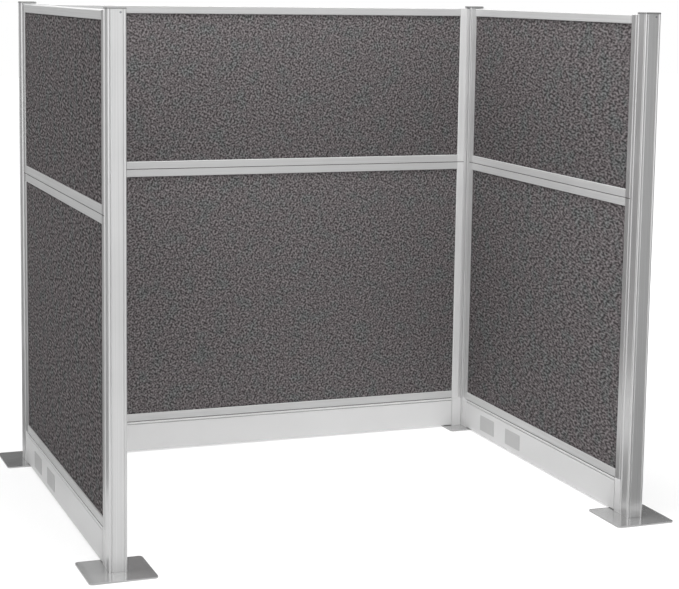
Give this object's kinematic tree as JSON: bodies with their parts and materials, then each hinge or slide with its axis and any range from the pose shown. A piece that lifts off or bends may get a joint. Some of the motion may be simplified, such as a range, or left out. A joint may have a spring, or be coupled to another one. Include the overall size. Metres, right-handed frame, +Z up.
{
  "type": "cubicle workstation",
  "caption": "Three-walled office cubicle of framed fabric panels between posts, open at the front, with hinged raceway covers along the base.",
  "frame": {"origin": "on the floor, at the middle of the outline of the four foot plates", "axes": "+X runs along the back wall towards its right end seen from the open front, +Y from the open front to the back wall, +Z up"},
  "size_m": [2.145, 1.672, 1.829],
  "materials": {
    "frame_aluminium": "satin silver aluminium extrusion",
    "plate_steel": "satin steel plate that mirrors the post a little",
    "fastener_steel": "plain zinc-coated steel",
    "raceway_paint": "smooth light-grey powder coat",
    "blank_plastic": "matte mid-grey moulded plastic",
    "key_plastic": "matte dark plastic, out of sight",
    "panel_fabric": "charcoal heather woven fabric over a rigid board"
  },
  "bodies": {
    "cubicle_frame": {"post_front_left": "frame_aluminium", "post_trims_front_left": "frame_aluminium", "post_cap_front_left": "frame_aluminium", "foot_plate_front_left": "plate_steel", "post_front_right": "frame_aluminium", "post_trims_front_right": "frame_aluminium", "post_cap_front_right": "frame_aluminium", "foot_plate_front_right": "plate_steel", "post_back_left": "frame_aluminium", "post_trims_back_left": "frame_aluminium", "post_cap_back_left": "frame_aluminium", "foot_plate_back_left": "plate_steel", "post_back_right": "frame_aluminium", "post_trims_back_right": "frame_aluminium", "post_cap_back_right": "frame_aluminium", "foot_plate_back_right": "plate_steel", "foot_bolts": "fastener_steel", "cap_screws": "fastener_steel", "panel_connectors": "frame_aluminium", "raceway_ends": "raceway_paint", "back_top_rail": "frame_aluminium", "back_upper_mid_rail": "frame_aluminium", "back_lower_mid_rail": "frame_aluminium", "back_bottom_rail": "frame_aluminium", "back_upper_stiles": "frame_aluminium", "back_lower_stiles": "frame_aluminium", "back_mid_spline": "key_plastic", "back_upper_tile": "panel_fabric", "back_lower_tile": "panel_fabric", "back_raceway_spine": "raceway_paint", "left_top_rail": "frame_aluminium", "left_upper_mid_rail": "frame_aluminium", "left_lower_mid_rail": "frame_aluminium", "left_bottom_rail": "frame_aluminium", "left_upper_stiles": "frame_aluminium", "left_lower_stiles": "frame_aluminium", "left_mid_spline": "key_plastic", "left_upper_tile": "panel_fabric", "left_lower_tile": "panel_fabric", "left_raceway_spine": "raceway_paint", "right_top_rail": "frame_aluminium", "right_upper_mid_rail": "frame_aluminium", "right_lower_mid_rail": "frame_aluminium", "right_bottom_rail": "frame_aluminium", "right_upper_stiles": "frame_aluminium", "right_lower_stiles": "frame_aluminium", "right_mid_spline": "key_plastic", "right_upper_tile": "panel_fabric", "right_lower_tile": "panel_fabric", "right_raceway_spine": "raceway_paint"},
    "back_outer_flap": {"back_outer_cover": "raceway_paint"},
    "back_inner_flap": {"back_inner_cover": "raceway_paint"},
    "left_outer_flap": {"left_outer_cover": "raceway_paint", "left_outer_outlet_blanks": "blank_plastic"},
    "left_inner_flap": {"left_inner_cover": "raceway_paint", "left_inner_outlet_blanks": "blank_plastic"},
    "right_outer_flap": {"right_outer_cover": "raceway_paint", "right_outer_outlet_blanks": "blank_plastic"},
    "right_inner_flap": {"right_inner_cover": "raceway_paint", "right_inner_outlet_blanks": "blank_plastic"}
  },
  "joints": [
    {"name": "back_outer_cover_hinge", "type": "hinge", "parent": "cubicle_frame", "child": "back_outer_flap", "pos_m": [0, 0.7455, 0.1224], "axis": [1, 0, 0], "range_deg": [0, 24]},
    {"name": "back_inner_cover_hinge", "type": "hinge", "parent": "cubicle_frame", "child": "back_inner_flap", "pos_m": [0, 0.6985, 0.1224], "axis": [-1, 0, 0], "range_deg": [0, 24]},
    {"name": "left_outer_cover_hinge", "type": "hinge", "parent": "cubicle_frame", "child": "left_outer_flap", "pos_m": [-0.982, 0, 0.1224], "axis": [0, 1, 0], "range_deg": [0, 24]},
    {"name": "left_inner_cover_hinge", "type": "hinge", "parent": "cubicle_frame", "child": "left_inner_flap", "pos_m": [-0.935, 0, 0.1224], "axis": [0, -1, 0], "range_deg": [0, 24]},
    {"name": "right_outer_cover_hinge", "type": "hinge", "parent": "cubicle_frame", "child": "right_outer_flap", "pos_m": [0.982, 0, 0.1224], "axis": [0, -1, 0], "range_deg": [0, 24]},
    {"name": "right_inner_cover_hinge", "type": "hinge", "parent": "cubicle_frame", "child": "right_inner_flap", "pos_m": [0.935, 0, 0.1224], "axis": [0, 1, 0], "range_deg": [0, 24]}
  ]
}
